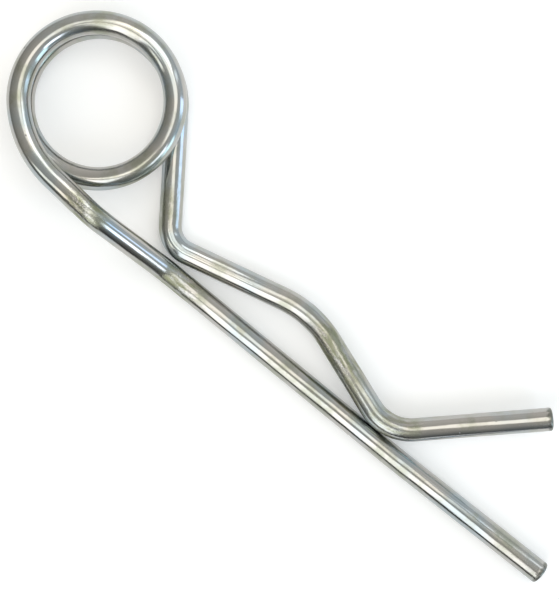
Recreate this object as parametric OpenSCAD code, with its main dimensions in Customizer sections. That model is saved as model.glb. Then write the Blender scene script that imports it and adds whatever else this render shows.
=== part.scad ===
// Double-coil R clip (hitch pin clip), bent from one length of round spring wire.
// A straight arm leaves the top of a coil of about one and two thirds turns, steps down beside it
// and runs on level. The bent leg leaves the bottom of the coil, rises over a crown and comes back
// to a nose that rests on the arm's flank, then flares away as a lead-in tail.
// The coil's axis is Z through the origin, the arm runs along +X, and the clip lies on the XY plane.

/* [Wire] */
// Diameter of the wire
wire_d = 4; // [3:0.1:4.4]
// Radius of the edge round each sheared end
end_r = 0.4; // [0.2:0.05:0.8]

/* [Coil] */
// Inside diameter of the coil
coil_id = 22; // [20:0.5:26]
// Air between one turn and the next
turn_gap = 0.3; // [0.25:0.05:0.6]
// Where the wire starts to open out of the coil towards the arm, as an angle about the coil's axis
coil_exit = 224; // [215:1:235]

/* [Arm] */
// Distance along X from the coil's axis to the tip of the arm
arm_reach = 109; // [98:1:125]
// How far outside the coil's centre-line circle the arm runs
arm_offset = 1.9; // [1:0.1:3]
// Angle at which the wire leaves the coil, away from the bent leg
lead_angle = 3.9; // [0:0.1:6]
// Distance along X to the corner where the arm starts to step down
step_start = 12.2; // [11:0.2:15]
// Slope of the step
step_slope = 28; // [20:1:35]
// Bend radius at both ends of the step
step_bend_r = 6; // [4:0.5:10]
// Sideways travel of the arm over the step
step_side = 0.45; // [0:0.05:1]
// Distance along X to the slight set in the arm
set_reach = 77; // [74:1:90]
// Angle of the set, towards the bent leg
set_angle = 1.1; // [0.5:0.1:2]
// Bend radius of the set
set_bend_r = 60; // [30:5:100]

/* [Bent leg] */
// Distance along X from the coil's axis to the centre of the nose bend
nose_reach = 71; // [66:1:73]
// Bend radius of the nose
nose_bend_r = 8; // [6:0.5:10]
// Air between the nose and the arm
nose_gap = 0.1; // [0.05:0.05:0.4]
// How far round the arm's flank the nose sits, up from level with it
nose_ride = 25; // [0:1:35]
// Angle between the arm and the stretch that falls from the crown to the nose
fall_angle = 19; // [16:0.5:22]
// Straight length between the crown and the nose
fall_l = 13.3; // [10:0.5:16]
// Bend radius of the crown, which seats on the shaft
crown_bend_r = 18.8; // [14:0.2:22]
// Angle between the arm and the stretch that rises from the heel to the crown
rise_angle = 14; // [12:0.5:17]
// Bend radius of the heel
heel_bend_r = 5; // [4:0.5:6]
// Air between the heel and the arm
heel_gap = 0.4; // [0.2:0.1:1]
// Angle between the arm and the tail
tail_angle = 44; // [30:1:55]
// Straight length of the tail
tail_l = 23.2; // [15:0.2:30]

/* [Hidden] */
wire_r = wire_d / 2;
coil_r = coil_id / 2 + wire_r;
turn_rise = wire_d + turn_gap;
arm_y = -coil_r - arm_offset;
coil_bends = 13; // arcs that the coil is rolled in
lap = 0.1; // each bend runs on this far into the wire that it meets
skim = 0.03; // a bend thins the wire by this much, so that its skin ends inside its neighbour's

// --- vectors ---
function unit(v) = v / norm(v);
function level(a) = [cos(a), sin(a), 0];
function angle_between(a, b) = atan2(norm(cross(a, b)), a * b);
function lift(p, z) = [p.x, p.y, z];

// corner of two tangents, at headings a and b, of the circle of radius r about c;
// side is 1 where the wire turns left and -1 where it turns right
function corner(c, r, a, b, side = 1) = c + side * r / cos((b - a) / 2) * level((a + b) / 2 - 90);

// --- bent leg in plan: circles at the nose, crown and heel, joined by straight tangents ---
nose_c = [nose_reach, arm_y + (wire_d + nose_gap) * cos(nose_ride) + nose_bend_r, 0];
tail_start = nose_c + nose_bend_r * level(tail_angle - 90);
crown_end = nose_c + nose_bend_r * level(-fall_angle - 90) - fall_l * level(-fall_angle);
crown_c = crown_end + crown_bend_r * level(-fall_angle - 90);
rise_end = crown_c + crown_bend_r * level(rise_angle + 90);
// the heel's centre comes from the gap to the arm, so the rise ends where it reaches that height
heel_y = arm_y + wire_d + heel_gap + heel_bend_r;
rise_l = (rise_end.y - heel_y + heel_bend_r * cos(rise_angle)) / sin(rise_angle);
heel_c = rise_end - rise_l * level(rise_angle) + heel_bend_r * level(rise_angle + 90);
// the stem is the cross tangent of the heel's circle and the coil's
stem_a = atan2(heel_c.y, heel_c.x) - asin((coil_r + heel_bend_r) / norm(heel_c));
heel = corner(heel_c, heel_bend_r, stem_a, rise_angle);

// the stem lies level; beyond the heel the leg climbs evenly, to ride on the arm's flank
leg_climb = (wire_d + nose_gap) * sin(nose_ride) / (nose_c.x - heel.x);
function on_leg(p) = [p.x, p.y, wire_r + (p.x - heel.x) * leg_climb];

// --- coil in plan, then its rise ---
coil_start = stem_a + 90;
coil_step = (360 + coil_exit - coil_start) / coil_bends;
coil_climb = turn_rise / (2 * PI * coil_r); // rise for each mm along the coil
function coil_corner(i) =
    lift(coil_r / cos(coil_step / 2) * level(coil_start + (i + 0.5) * coil_step),
         wire_r + turn_rise * (i + 0.5) * coil_step / 360);

// --- arm ---
step_from = [step_start, arm_y - step_side, 0];
lead_offset = step_from * level(-lead_angle - 90); // from the coil's axis to the lead's line
// the opening-out arc touches the coil's circle at one end and the lead's line at the other
exit_sin = sin(coil_exit + lead_angle);
exit_r = (lead_offset + coil_r * exit_sin) / (1 + exit_sin);
exit_c = (coil_r - exit_r) * level(coil_exit);
exit_from = corner(exit_c, exit_r, coil_exit + 90, 360 - lead_angle);
last_coil = coil_corner(coil_bends - 1);
exit_z = last_coil.z + coil_climb * norm(exit_from - lift(last_coil, 0));
step_z = exit_z + coil_climb * norm(step_from - exit_from);
step_run = sqrt(((step_z - wire_r) / tan(step_slope)) ^ 2 - step_side ^ 2);
tip_end = [arm_reach, arm_y + (arm_reach - set_reach) * tan(set_angle), wire_r];

// corners of the centre line from the tail's end to the arm's tip, each with its bend radius;
// a bend of radius 0 takes the radius that makes it start where the bend before it ends
CORNERS = concat(
    [
        [on_leg(tail_start + tail_l * level(tail_angle)), 0],
        [on_leg(corner(nose_c, nose_bend_r, -fall_angle, tail_angle)), nose_bend_r],
        [on_leg(corner(crown_c, crown_bend_r, rise_angle, -fall_angle, -1)), crown_bend_r],
        [on_leg(heel), heel_bend_r],
        [lift(coil_corner(0), wire_r), coil_r]
    ],
    [for (i = [1:coil_bends - 1]) [coil_corner(i), 0]],
    [
        [lift(exit_from, exit_z), 0],
        [lift(step_from, step_z), step_bend_r],
        [[step_start + step_run, arm_y, wire_r], step_bend_r],
        [[set_reach, arm_y, wire_r], set_bend_r],
        [tip_end, 0]
    ]
);
LAST = len(CORNERS) - 1;

function at(i) = CORNERS[i][0];
function toward(i) = unit(at(i + 1) - at(i)); // direction of side i
function side_l(i) = norm(at(i + 1) - at(i));
function bend_a(i) = angle_between(toward(i - 1), toward(i));
// length of side that a bend takes up before and after its corner
function trim(i) =
    i == 0 || i == LAST ? 0 :
    CORNERS[i][1] == 0 ? side_l(i - 1) - trim(i - 1) : CORNERS[i][1] * tan(bend_a(i) / 2);
function bend_r(i) = trim(i) / tan(bend_a(i) / 2);

// --- pieces of wire ---
module place(p, x, y) {
    z = cross(x, y);
    multmatrix([[x.x, y.x, z.x, p.x], [x.y, y.y, z.y, p.y], [x.z, y.z, z.z, p.z], [0, 0, 0, 1]])
        children();
}

// arc of wire at corner i, starting on its local X axis and turning about Z
module bend(i, slimmer) {
    t = toward(i - 1);
    inward = unit(toward(i) - (toward(i) * t) * t);
    r = bend_r(i);
    extra = lap / r * 180 / PI;
    place(at(i) - trim(i) * t + r * inward, -inward, t)
        rotate([0, 0, -extra])
            rotate_extrude(angle = bend_a(i) + 2 * extra, $fn = 180)
                translate([r, 0])
                    circle(wire_r - slimmer);
}

// straight wire from corner i to the next one, rounded where the wire ends
module straight(i) {
    t = toward(i);
    side = unit(cross([0, 0, 1], t));
    length = side_l(i) - trim(i) - trim(i + 1);
    tail_r = i == 0 ? end_r : 0;
    tip_r = i == LAST - 1 ? end_r : 0;
    place(at(i) + trim(i) * t, side, cross(t, side))
        rotate_extrude() {
            translate([0, tail_r])
                square([wire_r, length - tail_r - tip_r]);
            square([wire_r - tail_r - tip_r, length]);
            if (tail_r + tip_r > 0)
                translate([wire_r - end_r, tail_r > 0 ? end_r : length - end_r])
                    circle(end_r);
        }
}

module clip() {
    color([0.77, 0.79, 0.8]) {
        for (i = [0:LAST - 1])
            if (side_l(i) - trim(i) - trim(i + 1) > lap) straight(i);
        for (i = [1:LAST - 1])
            bend(i, skim * (1 + i % 2));
    }
}

$fn = 48;
clip();
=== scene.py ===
import bpy
import numpy as np
from mathutils import Matrix


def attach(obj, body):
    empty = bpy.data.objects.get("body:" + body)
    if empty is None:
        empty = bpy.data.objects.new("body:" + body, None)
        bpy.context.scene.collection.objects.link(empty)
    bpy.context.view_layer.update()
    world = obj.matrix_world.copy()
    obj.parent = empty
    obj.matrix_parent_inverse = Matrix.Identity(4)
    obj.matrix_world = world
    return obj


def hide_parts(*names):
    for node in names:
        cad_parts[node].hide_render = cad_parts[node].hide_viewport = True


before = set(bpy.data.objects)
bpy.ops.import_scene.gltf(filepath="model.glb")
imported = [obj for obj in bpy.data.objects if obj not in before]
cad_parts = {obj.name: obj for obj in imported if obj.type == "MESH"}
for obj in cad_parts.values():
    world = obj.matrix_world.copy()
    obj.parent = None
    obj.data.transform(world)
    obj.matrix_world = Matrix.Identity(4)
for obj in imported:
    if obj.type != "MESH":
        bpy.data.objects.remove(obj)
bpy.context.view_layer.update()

print("frame loaded:", sorted(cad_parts))

# A hitch clip bent from one spring wire: one surface is swept along the wire's centre line and
# stands for the node "clip". The wire and its finish are in millimetres and degrees. The arm runs
# along +X, the coil's axis is Z and the table is at height 0.
mm = 0.001

wire = {
    "radius": 2.0,
    "endRadius": 0.4,  # rounded edge left by shearing and tumbling
    # coil
    "coilInside": 22.0,  # bore across
    "turnGap": 0.3,  # air between one turn and the next
    "coilExit": 224.0,  # where on the circle the wire starts to open out, from +X
    "coilBends": 13,  # equal bends that the coil is made of
    # lead, and the step down to the arm
    "leadAngle": 3.9,  # slant outwards, seen from above
    "stepStart": 12.2,  # top of the step, from the coil's axis
    "stepSlope": 28.0,
    "stepBend": 6.0,
    "stepSide": 0.45,  # how far the top of the step is outside the arm's line
    # arm
    "armReach": 109.0,  # tip, from the coil's axis
    "armOffset": 1.9,  # how far the arm is outside the coil's centre circle
    "setReach": 77.0,  # the arm has a slight set here
    "setAngle": 1.1,
    "setBend": 60.0,
    # bent leg, from the nose that rests on the arm back to the heel, then the tail
    "noseReach": 71.0,
    "noseBend": 8.0,
    "noseGap": 0.1,  # air between the nose and the arm
    "noseRide": 25.0,  # how far up the arm's flank the nose rests
    "fallAngle": 19.0,
    "fallLength": 13.3,
    "crownBend": 18.8,
    "riseAngle": 14.0,
    "heelBend": 5.0,
    "heelGap": 0.4,  # air between the heel and the arm
    "tailAngle": 44.0,
    "tailLength": 23.2,
    # mesh
    "around": 72,  # faces round the wire
    "spacing": 0.5,  # most distance between rings
    "leastRings": 4,  # in a bend
    "leastStraight": 0.125,  # a shorter straight gets no rings of its own
    "faceRings": (0.08, 0.92, 5),  # on a sheared face: first and last share of its radius, count
    "edgeRings": (0, 75, 6),  # on its rounded edge: first and last angle, count
}


def level(degrees):
    # direction in the table's plane
    angle = np.radians(degrees)
    return np.array([np.cos(angle), np.sin(angle), 0.0])


def unit(vector):
    return vector / np.linalg.norm(vector)


def tangentCorner(centre, radius, headingIn, headingOut, side=1):
    # where the two tangents of a circle meet; side is 1 for a left turn, -1 for a right turn
    half = np.radians(headingOut - headingIn) / 2
    return centre + side * radius / np.cos(half) * level((headingIn + headingOut) / 2 - 90)


def wireCorners(w):
    # Corners of the centre line from the tail's end to the arm's tip, each with its bend radius.
    # None stands for the radius that makes a bend start where the one before it ends.
    wireDiameter = 2 * w["radius"]
    coilRadius = w["coilInside"] / 2 + w["radius"]
    turnRise = wireDiameter + w["turnGap"]
    armY = -coilRadius - w["armOffset"]
    fallAngle, riseAngle, tailAngle = -w["fallAngle"], w["riseAngle"], w["tailAngle"]

    # bent leg in plan: circles at the nose, crown and heel, joined by straight tangents
    apart = wireDiameter + w["noseGap"]
    noseRide = np.radians(w["noseRide"])
    nose = np.array([w["noseReach"], armY + apart * np.cos(noseRide) + w["noseBend"], 0])
    tailStart = nose + w["noseBend"] * level(tailAngle - 90)
    fallEnd = nose + w["noseBend"] * level(fallAngle - 90)
    crownEnd = fallEnd - w["fallLength"] * level(fallAngle)
    crown = crownEnd + w["crownBend"] * level(fallAngle - 90)
    riseEnd = crown + w["crownBend"] * level(riseAngle + 90)
    heelY = armY + wireDiameter + w["heelGap"] + w["heelBend"]
    climb = riseEnd[1] - heelY + w["heelBend"] * np.cos(np.radians(riseAngle))
    riseStart = riseEnd - climb / np.sin(np.radians(riseAngle)) * level(riseAngle)
    heel = riseStart + w["heelBend"] * level(riseAngle + 90)

    # the stem touches the heel's circle and the coil's, one on each side of it
    reach = (coilRadius + w["heelBend"]) / np.linalg.norm(heel)
    stemHeading = np.degrees(np.arctan2(heel[1], heel[0]) - np.arcsin(reach))
    heelCorner = tangentCorner(heel, w["heelBend"], stemHeading, riseAngle)

    # from the heel, which lies on the table, the leg climbs to where the nose rests
    legSlope = apart * np.sin(noseRide) / (nose[0] - heelCorner[0])

    def onLeg(point):
        return np.array([point[0], point[1], w["radius"] + (point[0] - heelCorner[0]) * legSlope])

    # coil: equal sides round its circle, each a little higher than the one before
    coilStart = stemHeading + 90
    coilStep = (360 + w["coilExit"] - coilStart) / w["coilBends"]
    turns = (np.arange(w["coilBends"]) + 0.5) * coilStep
    bearings = np.radians(coilStart + turns)
    cornerRadius = coilRadius / np.cos(np.radians(coilStep / 2))
    coil = np.stack([cornerRadius * np.cos(bearings), cornerRadius * np.sin(bearings),
                     w["radius"] + turnRise * turns / 360], axis=1)
    coil[0, 2] = w["radius"]

    # where the wire opens out of the coil, and the step down to the arm
    coilSlope = turnRise / (2 * np.pi * coilRadius)
    stepTop = np.array([w["stepStart"], armY - w["stepSide"], 0])
    leadOffset = stepTop @ level(-w["leadAngle"] - 90)
    exitSine = np.sin(np.radians(w["coilExit"] + w["leadAngle"]))
    exitRadius = (leadOffset + coilRadius * exitSine) / (1 + exitSine)
    exitCentre = (coilRadius - exitRadius) * level(w["coilExit"])
    exitCorner = tangentCorner(exitCentre, exitRadius, w["coilExit"] + 90, 360 - w["leadAngle"])
    exitCorner[2] = coil[-1, 2] + coilSlope * np.linalg.norm((exitCorner - coil[-1]) * [1, 1, 0])
    stepTop[2] = exitCorner[2] + coilSlope * np.linalg.norm((stepTop - exitCorner) * [1, 1, 0])
    stepLength = (stepTop[2] - w["radius"]) / np.tan(np.radians(w["stepSlope"]))
    stepRun = np.sqrt(stepLength ** 2 - w["stepSide"] ** 2)
    tipY = armY + (w["armReach"] - w["setReach"]) * np.tan(np.radians(w["setAngle"]))

    noseCorner = tangentCorner(nose, w["noseBend"], fallAngle, tailAngle)
    crownCorner = tangentCorner(crown, w["crownBend"], riseAngle, fallAngle, -1)
    return [
        (onLeg(tailStart + w["tailLength"] * level(tailAngle)), 0),
        (onLeg(noseCorner), w["noseBend"]),
        (onLeg(crownCorner), w["crownBend"]),
        (onLeg(heelCorner), w["heelBend"]),
        (coil[0], coilRadius),
        *[(corner, None) for corner in coil[1:]],
        (exitCorner, None),
        (stepTop, w["stepBend"]),
        (np.array([w["stepStart"] + stepRun, armY, w["radius"]]), w["stepBend"]),
        (np.array([w["setReach"], armY, w["radius"]]), w["setBend"]),
        (np.array([w["armReach"], tipY, w["radius"]]), 0),
    ]


def wireStations(w):
    # Points, directions and side vectors along the centre line. Each corner is rounded by an arc
    # of its radius: start + r (sin a . heading + (1 - cos a) . inward). The side vector is carried
    # along without twist: in a bend it turns with the direction about the bend's axis, on a
    # straight it stays.
    corners = wireCorners(w)
    at = np.array([corner for corner, radius in corners])
    sides = np.diff(at, axis=0)
    sideLengths = np.linalg.norm(sides, axis=1)
    headings = sides / sideLengths[:, None]
    points, directions, sideVectors = [], [], []
    carried = unit(np.cross([0, 0, 1], headings[0]))
    trimBefore = 0.0

    def addStraight(start, heading, length):
        steps = max(1, int(np.ceil(length / w["spacing"])))
        along = np.arange(steps) / steps * length
        points.append(start + along[:, None] * heading)
        directions.append(np.tile(heading, (steps, 1)))
        sideVectors.append(np.tile(carried, (steps, 1)))

    for i in range(1, len(corners) - 1):
        heading = headings[i - 1]
        bend = np.arccos(heading @ headings[i])
        radius = corners[i][1]
        if radius is None:
            trim = sideLengths[i - 1] - trimBefore
            radius = trim / np.tan(bend / 2)
        else:
            trim = radius * np.tan(bend / 2)
        free = sideLengths[i - 1] - trimBefore - trim
        if free > w["leastStraight"]:
            addStraight(at[i - 1] + trimBefore * heading, heading, free)

        inward = unit(headings[i] - (headings[i] @ heading) * heading)
        axis = np.cross(heading, inward)
        start = at[i] - trim * heading
        steps = max(w["leastRings"], int(np.ceil(bend * radius / w["spacing"])))
        turned = (np.arange(steps) / steps * bend)[:, None]
        points.append(start + radius * (np.sin(turned) * heading + (1 - np.cos(turned)) * inward))
        directions.append(np.cos(turned) * heading + np.sin(turned) * inward)
        axial = (carried @ axis) * axis
        across = np.cross(axis, carried)
        inPlane = carried - axial
        sideVectors.append(axial + np.cos(turned) * inPlane + np.sin(turned) * across)
        carried = axial + np.cos(bend) * inPlane + np.sin(bend) * across
        trimBefore = trim

    heading = headings[-1]
    addStraight(at[-2] + trimBefore * heading, heading, sideLengths[-1] - trimBefore)
    points.append(at[-1:])
    directions.append(headings[-1:])
    sideVectors.append(carried[None])
    return np.concatenate(points), np.concatenate(directions), np.concatenate(sideVectors)


def sweptWire(name, w):
    # A circle carried along the centre line: point + r (cos a . side + sin a . other), where other
    # is direction x side. At each end r follows a quarter circle inwards, then rings close the
    # face.
    points, directions, sideVectors = wireStations(w)
    gaps = np.linalg.norm(np.diff(points, axis=0), axis=1)
    along = np.concatenate([[0], np.cumsum(gaps)])
    length = float(along[-1])

    # rings of each sheared end: first the face, then the rounded edge
    edge = w["endRadius"]
    faceRadius = w["radius"] - edge
    onFace = np.linspace(*w["faceRings"]) * faceRadius
    onEdge = np.radians(np.linspace(*w["edgeRings"]))
    endRadii = np.concatenate([onFace, faceRadius + edge * np.sin(onEdge)])
    endDepths = np.concatenate([np.zeros(len(onFace)), edge - edge * np.cos(onEdge)])
    count = len(endRadii)

    # all rings from the tail's end to the tip
    keep = (along > edge) & (along < length - edge)
    middle = np.full(np.count_nonzero(keep), w["radius"])
    ringRadii = np.concatenate([endRadii, middle, endRadii[::-1]])
    ringAlong = np.concatenate([endDepths, along[keep], length - endDepths[::-1]])
    ringPoints = np.concatenate([points[0] + endDepths[:, None] * directions[0], points[keep],
                                 points[-1] - endDepths[::-1, None] * directions[-1]])
    ringDirections, ringSides = [
        np.concatenate([np.tile(vectors[0], (count, 1)), vectors[keep],
                        np.tile(vectors[-1], (count, 1))])
        for vectors in (directions, sideVectors)]
    ringOthers = np.cross(ringDirections, ringSides)

    columns = w["around"]
    rings = len(ringPoints)
    angle = np.arange(columns) / columns * 2 * np.pi
    spoke = (np.cos(angle)[None, :, None] * ringSides[:, None]
             + np.sin(angle)[None, :, None] * ringOthers[:, None])
    grid = ringPoints[:, None] + ringRadii[:, None, None] * spoke
    vertices = np.concatenate([grid.reshape(-1, 3), points[:1], points[-1:]]) * mm

    # where each vertex was on the straight wire, before it was bent
    straight = np.stack([ringRadii[:, None] * np.cos(angle), ringRadii[:, None] * np.sin(angle),
                         np.tile(ringAlong[:, None], (1, columns))], axis=-1)
    straight = np.concatenate([straight.reshape(-1, 3), [[0, 0, 0], [0, 0, length]]])

    ring, column = np.meshgrid(np.arange(rings - 1), np.arange(columns), indexing="ij")
    nextColumn = (column + 1) % columns
    quads = np.stack([ring * columns + column, ring * columns + nextColumn,
                      (ring + 1) * columns + nextColumn, (ring + 1) * columns + column],
                     axis=-1).reshape(-1, 4)
    first = np.arange(columns)
    last = (rings - 1) * columns + first
    startMiddle = np.full(columns, rings * columns)
    startCap = np.stack([startMiddle, np.roll(first, -1), first], axis=1)
    endCap = np.stack([startMiddle + 1, last, np.roll(last, -1)], axis=1)

    mesh = bpy.data.meshes.new(name)
    mesh.from_pydata(vertices.tolist(), [], quads.tolist() + startCap.tolist() + endCap.tolist())
    mesh.polygons.foreach_set("use_smooth", np.ones(len(mesh.polygons), bool))
    unrolled = mesh.attributes.new("straightWire", "FLOAT_VECTOR", "POINT")
    unrolled.data.foreach_set("vector", straight.ravel())
    mesh.validate()
    mesh.update()
    piece = bpy.data.objects.new(name, mesh)
    bpy.context.scene.collection.objects.link(piece)
    print("wire swept:", round(length, 1), "mm long,", len(mesh.polygons), "faces")
    return piece, length


def fromHex(code):
    # sRGB hex to linear colour
    value = np.array([int(code[i:i + 2], 16) for i in (1, 3, 5)]) / 255
    linear = np.where(value <= 0.04045, value / 12.92, ((value + 0.055) / 1.055) ** 2.4)
    return (*linear, 1.0)


def addNode(tree, kind, settings=None, links=None):
    # settings are properties or input values; links are output sockets, or nodes for their first
    # output; an input is given by its name or its number
    node = tree.nodes.new(kind)
    for key, value in (settings or {}).items():
        if isinstance(key, int) or key in node.inputs:
            node.inputs[key].default_value = value
        else:
            setattr(node, key, value)
    for key, source in (links or {}).items():
        socket = source.outputs[0] if isinstance(source, bpy.types.Node) else source
        tree.links.new(socket, node.inputs[key])
    return node


# Bright zinc plate over drawn spring steel: a thin metal skin, silvery, with the weak straw and
# teal bloom of a clear passivation. It is glossy but slightly hazed, has fine draw marks along the
# wire, and is dulled to olive and scuffed where the bending tools held it, with a few dark pits.
# At the nose and the fall the darker olive is also painted shade, which dulls their highlights.
zincPlate = {
    "clean": "#b1afab",
    # what lies over the clean plate, from the lowest layer up
    "layers": {
        "bloomed": "#a4acaf",
        "blotched": "#9d9f93",
        # olive of tool scuffs; at the nose and the fall also painted shade
        "scuffedAndShaded": "#848770",
        "sheared": "#7e7f79",
        "pits": "#3c3c39",
    },
    # roughness of the clean plate and of the haziest, and what is added to it
    "roughness": (0.12, 0.22),
    "added": {"scuffedAndShaded": 0.16, "sheared": 0.1, "pits": 0.3},
    # noise patterns: size across and along the wire, then detail
    "patterns": {
        "bloom": (9.0, 9.0, 2.0),  # stains where the passivation ran and dried
        "blotch": (4.0, 4.0, 4.0),  # dull clouds in the plate
        "patch": (0.7, 3.4, 4.0),  # smears drawn out along the wire
        "ripple": (1.6, 8.0, 1.0),  # slow waves left by the straightening rolls
        "drawMark": (0.12, 6.0, 2.0),  # real ones are some 0.03 wide, so these are coarser to show
        "scuff": (0.3, 0.3, 3.0),  # real ones are some 0.1 wide, so these are coarser to show
    },
    # noise value at which each share of a finish begins, and at which it is full
    "shares": {
        "bloomed": ("bloom", 0.42, 0.66),
        "blotched": ("blotch", 0.45, 0.72),
        "hazed": ("blotch", 0.35, 0.7),
        "patchy": ("patch", 0.37, 0.62),
    },
    # height of each relief, and how strongly it shows
    "relief": {
        "ripple": (0.08, 1.0),
        "drawMark": (0.03, 0.12),
        "scuff": (0.12, 0.35),
        "pits": (-0.05, 0.5),
    },
    "pitSpacing": 3.2,
    "pit": 0.16,  # radius of a pit's mouth; real ones are about half that, too fine to show
    "pitFloor": 0.5,  # share of that radius
    # where tools held the wire: middle and half length along it, and how hard. The first two,
    # at the nose and the fall, are also painted shade that darkens the plate there
    "heldAndShaded": [(27, 6, 0.6), (43, 10, 0.9), (83, 6, 0.4), (246, 5, 1.0), (267, 6, 1.0)],
    "firmGrip": 0.3,  # share of the half length that was held fully
    # torn by the shears and tumbled dull: how far the border wanders from the end, and how far
    # outside and inside it the finish begins and is full
    "torn": (1.6, 0.2, -0.3),
}


def makeZincPlate(look, wireLength):
    material = bpy.data.materials.new("brightZincPlate")
    material.use_nodes = True
    tree = material.node_tree
    tree.nodes.clear()
    straight = addNode(tree, "ShaderNodeAttribute", {"attribute_name": "straightWire"})
    place = straight.outputs["Vector"]
    along = addNode(tree, "ShaderNodeSeparateXYZ", links={0: place}).outputs["Z"]
    marks = {}
    for name, (wide, long, detail) in look["patterns"].items():
        stretched = addNode(tree, "ShaderNodeMapping",
                            {"Scale": (1 / wide, 1 / wide, 1 / long)}, {0: place})
        marks[name] = addNode(tree, "ShaderNodeTexNoise", {"Scale": 1.0, "Detail": detail},
                              {"Vector": stretched})

    # how hard a tool held the wire here, and at the nose and the fall how strong the painted
    # shade is, fading at both ends of its grip
    grips = []
    for middle, reach, force in look["heldAndShaded"]:
        off = addNode(tree, "ShaderNodeMath", {"operation": "SUBTRACT", 1: middle}, {0: along})
        away = addNode(tree, "ShaderNodeMath", {"operation": "ABSOLUTE"}, {0: off})
        grips.append(addNode(tree, "ShaderNodeMapRange",
                             {"interpolation_type": "SMOOTHSTEP", "From Min": reach,
                              "From Max": reach * look["firmGrip"], "To Max": force}, {0: away}))
    heldAndShaded = grips[0]
    for grip in grips[1:]:
        heldAndShaded = addNode(tree, "ShaderNodeMath", {"operation": "MAXIMUM"}, {0: heldAndShaded, 1: grip})

    # distance from the closer sheared end, less that of the torn metal's ragged border
    wander, tornBegins, tornFull = look["torn"]
    fromTip = addNode(tree, "ShaderNodeMath", {"operation": "SUBTRACT", 0: wireLength}, {1: along})
    nearest = addNode(tree, "ShaderNodeMath", {"operation": "MINIMUM"}, {0: along, 1: fromTip})
    ragged = addNode(tree, "ShaderNodeMath", {"operation": "MULTIPLY", 1: wander},
                     {0: marks["patch"]})
    border = addNode(tree, "ShaderNodeMath", {"operation": "SUBTRACT"}, {0: nearest, 1: ragged})

    # distance from the closest pit, in pit spacings
    cell = addNode(tree, "ShaderNodeTexVoronoi", {"Scale": 1 / look["pitSpacing"]},
                   {"Vector": place})
    mouth = look["pit"] / look["pitSpacing"]

    # shares of each finish, from 0 to 1
    ranges = {name: (marks[pattern], begins, full)
              for name, (pattern, begins, full) in look["shares"].items()}
    ranges["sheared"] = (border, tornBegins, tornFull)
    ranges["pits"] = (cell, mouth, mouth * look["pitFloor"])
    shares = {}
    for name, (source, begins, full) in ranges.items():
        shares[name] = addNode(tree, "ShaderNodeMapRange",
                               {"interpolation_type": "SMOOTHSTEP", "From Min": begins,
                                "From Max": full}, {0: source})
    # scuffs where tools held the wire; at the nose and the fall also painted shade
    shares["scuffedAndShaded"] = addNode(tree, "ShaderNodeMath", {"operation": "MULTIPLY"},
                                {0: heldAndShaded, 1: shares["patchy"]})

    # in a colour mix, inputs 6 and 7 are the colours below and above, and output 2 is the result
    below = {}
    for name, code in look["layers"].items():
        colour = addNode(tree, "ShaderNodeMix",
                         {"data_type": "RGBA", 6: fromHex(look["clean"]), 7: fromHex(code)},
                         {0: shares[name], **below})
        below = {6: colour.outputs[2]}

    clean, haziest = look["roughness"]
    rough = addNode(tree, "ShaderNodeMapRange", {"To Min": clean, "To Max": haziest},
                    {0: shares["hazed"]})
    for name, more in look["added"].items():
        rough = addNode(tree, "ShaderNodeMath", {"operation": "MULTIPLY_ADD", 1: more},
                        {0: shares[name], 2: rough})

    # relief, with scuffs only where the metal was held or torn
    worn = addNode(tree, "ShaderNodeMath", {"operation": "MAXIMUM"},
                   {0: heldAndShaded, 1: shares["sheared"]})
    marks["scuff"] = addNode(tree, "ShaderNodeMath", {"operation": "MULTIPLY"},
                             {0: marks["scuff"], 1: worn})
    marks["pits"] = shares["pits"]
    below = {}
    for name, (height, strength) in look["relief"].items():
        normal = addNode(tree, "ShaderNodeBump",
                         {"Strength": strength, "Distance": abs(height) * mm,
                          "invert": height < 0}, {"Height": marks[name], **below})
        below = {"Normal": normal}

    metal = addNode(tree, "ShaderNodeBsdfPrincipled", {"Metallic": 1.0},
                    {"Base Color": colour.outputs[2], "Roughness": rough, "Normal": normal})
    addNode(tree, "ShaderNodeOutputMaterial", links={"Surface": metal})
    print("zinc plate made:", len(tree.nodes), "nodes")
    return material


clip, wireLength = sweptWire("springWire", wire)
clip.data.materials.append(makeZincPlate(zincPlate, wireLength))
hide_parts("clip")
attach(clip, "root")

# Plain white table, seen pure white where it is fully lit. Its size is in metres.
table = {"size": 4.0, "colour": "#f4f4f4", "glow": 0.22}


def makeTable(t):
    half = t["size"] / 2
    mesh = bpy.data.meshes.new("table")
    mesh.from_pydata([(-half, -half, 0), (half, -half, 0), (half, half, 0), (-half, half, 0)],
                     [], [(0, 1, 2, 3)])
    material = bpy.data.materials.new("whiteTable")
    material.use_nodes = True
    tree = material.node_tree
    tree.nodes.clear()
    paper = addNode(tree, "ShaderNodeBsdfDiffuse", {"Color": fromHex(t["colour"])})
    # a little more light for whoever looks at the table, straight on, in metal or through glass
    ray = addNode(tree, "ShaderNodeLightPath").outputs
    looked = addNode(tree, "ShaderNodeMath", {"operation": "MAXIMUM"},
                     {0: ray["Is Camera Ray"], 1: ray["Is Glossy Ray"]})
    looked = addNode(tree, "ShaderNodeMath", {"operation": "MAXIMUM"},
                     {0: looked, 1: ray["Is Transmission Ray"]})
    strength = addNode(tree, "ShaderNodeMath", {"operation": "MULTIPLY", 1: t["glow"]},
                       {0: looked})
    lift = addNode(tree, "ShaderNodeEmission", {"Color": (1, 1, 1, 1)}, {"Strength": strength})
    both = addNode(tree, "ShaderNodeAddShader", links={0: paper, 1: lift})
    addNode(tree, "ShaderNodeOutputMaterial", links={"Surface": both})
    mesh.materials.append(material)
    piece = bpy.data.objects.new("table", mesh)
    bpy.context.scene.collection.objects.link(piece)


makeTable(table)
print("table laid")

clipMiddle = (44.8, -6.5)
coilAxis = (0, 0)

# Camera straight above the clip, turned so that the arm runs down to the right. In millimetres.
camera = {"turn": 39.38, "over": clipMiddle, "height": 253.0, "lens": 88.06, "sensor": 36.0,
          "clipStart": 10.0}


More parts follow.
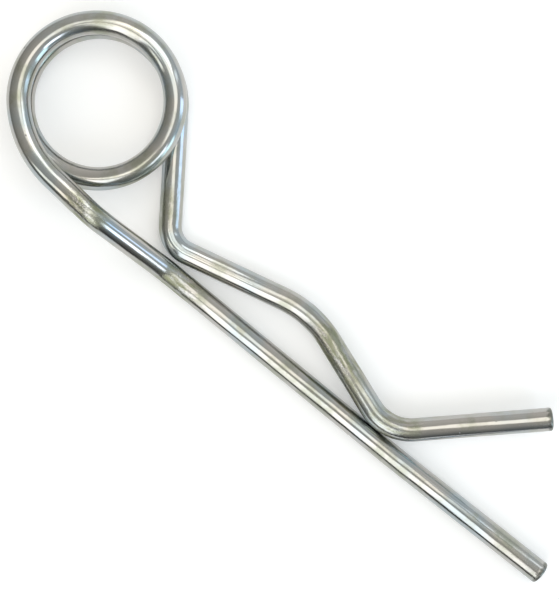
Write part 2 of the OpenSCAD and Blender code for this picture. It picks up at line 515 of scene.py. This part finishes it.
def makeCamera(c):
    data = bpy.data.cameras.new("camera")
    data.sensor_fit = "VERTICAL"
    data.sensor_height = c["sensor"]
    data.lens = c["lens"]
    data.clip_start = c["clipStart"] * mm
    piece = bpy.data.objects.new("camera", data)
    piece.location = (c["over"][0] * mm, c["over"][1] * mm, c["height"] * mm)
    piece.rotation_euler = (0, 0, np.radians(c["turn"]))
    bpy.context.scene.collection.objects.link(piece)
    bpy.context.scene.camera = piece


makeCamera(camera)
print("camera set")

# Soft boxes, placed by the direction that each is seen in from a point on the table: bearing 0 is
# to the right in the camera's view and 90 is up, and fromTop is the angle down from straight
# overhead. Outward and sideways are the angles that a box covers, and its distance is in metres.
# A box with bright 1 is as white as paper. The last three are close over the coil, so that they
# show in the coil and not in the arm.
softBoxes = [
    {"name": "overheadBox", "seenFrom": clipMiddle, "distance": 0.8, "bearing": 48, "fromTop": 12,
     "outward": 26, "sideways": 26, "bright": 1.5, "colour": "#fffcf3"},
    {"name": "keyBox", "seenFrom": clipMiddle, "distance": 0.8, "bearing": 241, "fromTop": 46,
     "outward": 46, "sideways": 28, "bright": 2.2, "colour": "#ffffff"},
    {"name": "leftBox", "seenFrom": clipMiddle, "distance": 0.8, "bearing": 202, "fromTop": 51,
     "outward": 22, "sideways": 12, "bright": 1.9, "colour": "#fff8ea"},
    {"name": "coolStrip", "seenFrom": clipMiddle, "distance": 0.8, "bearing": -48, "fromTop": 50,
     "outward": 18, "sideways": 19, "bright": 3.2, "colour": "#e2edff"},
    {"name": "coolWindow", "seenFrom": clipMiddle, "distance": 0.8, "bearing": 1, "fromTop": 74,
     "outward": 34, "sideways": 14, "bright": 2.4, "colour": "#b8d3fb"},
    {"name": "lowWindow", "seenFrom": clipMiddle, "distance": 0.8, "bearing": -33, "fromTop": 75,
     "outward": 30, "sideways": 18, "bright": 2.3, "colour": "#c2e6f2"},
    {"name": "thinStrip", "seenFrom": clipMiddle, "distance": 0.8, "bearing": 27, "fromTop": 49,
     "outward": 26, "sideways": 5, "bright": 1.3, "colour": "#f0f8ff"},
    {"name": "coilBox", "seenFrom": coilAxis, "distance": 0.17, "bearing": 241, "fromTop": 13,
     "outward": 12, "sideways": 18, "bright": 2.1, "colour": "#fffcf2"},
    {"name": "coilSideBox", "seenFrom": coilAxis, "distance": 0.076, "bearing": 45, "fromTop": 35,
     "outward": 20, "sideways": 20, "bright": 2.1, "colour": "#ffffff"},
    {"name": "leadBox", "seenFrom": coilAxis, "distance": 0.095, "bearing": 68, "fromTop": 28,
     "outward": 18, "sideways": 14, "bright": 1.9, "colour": "#fffcf2"},
]


def makeSoftBox(box):
    data = bpy.data.lights.new(box["name"], "AREA")
    data.shape = "RECTANGLE"
    size = 2 * box["distance"] * np.tan(np.radians([box["outward"], box["sideways"]]) / 2)
    data.size, data.size_y = size
    data.energy = box["bright"] * np.pi * size[0] * size[1]
    data.color = fromHex(box["colour"])[:3]
    bearing = np.radians(box["bearing"] + camera["turn"])
    lean = np.radians(box["fromTop"])
    facing = Matrix.Rotation(bearing, 4, "Z") @ Matrix.Rotation(lean, 4, "Y")
    point = Matrix.Translation((box["seenFrom"][0] * mm, box["seenFrom"][1] * mm, 0))
    out = Matrix.Translation((0, 0, box["distance"]))
    piece = bpy.data.objects.new(box["name"], data)
    piece.matrix_world = point @ facing @ out
    piece.visible_camera = False  # the near ones would show in a low view
    bpy.context.scene.collection.objects.link(piece)


for box in softBoxes:
    makeSoftBox(box)
print("soft boxes hung:", len(softBoxes))

# The room: four walls and a ceiling, each with its colour, blended by the squares of the
# direction's parts. The first wall's bearing in the camera's view is given, the others follow
# anticlockwise.
room = {"bearing": -12, "strength": 1.05, "ceiling": "#cac8c2",
        "walls": ["#cfe0ea", "#e8e6e2", "#96968f", "#3c3d3d"]}


def makeRoom(r):
    world = bpy.data.worlds.new("room")
    bpy.context.scene.world = world
    world.use_nodes = True
    tree = world.node_tree
    tree.nodes.clear()
    look = addNode(tree, "ShaderNodeTexCoord").outputs["Generated"]
    first = np.radians(r["bearing"] + camera["turn"])
    quarters = first + np.arange(4) * np.pi / 2
    sides = [(np.cos(quarter), np.sin(quarter), 0) for quarter in quarters] + [(0, 0, 1)]
    parts = []
    for side, colour in zip(sides, r["walls"] + [r["ceiling"]]):
        towards = addNode(tree, "ShaderNodeVectorMath", {"operation": "DOT_PRODUCT", 1: side},
                          {0: look})
        facing = addNode(tree, "ShaderNodeMath", {"operation": "MAXIMUM", 1: 0},
                         {0: towards.outputs["Value"]})
        share = addNode(tree, "ShaderNodeMath", {"operation": "POWER", 1: 2}, {0: facing})
        parts.append(addNode(tree, "ShaderNodeVectorMath",
                             {"operation": "SCALE", 0: fromHex(colour)[:3]}, {"Scale": share}))
    total = parts[0]
    for part in parts[1:]:
        total = addNode(tree, "ShaderNodeVectorMath", {"operation": "ADD"}, {0: total, 1: part})
    light = addNode(tree, "ShaderNodeBackground", {"Strength": r["strength"]}, {"Color": total})
    addNode(tree, "ShaderNodeOutputWorld", links={"Surface": light})


makeRoom(room)
print("room made")

bpy.context.scene.view_settings.view_transform = "Standard"
print("scene ready")
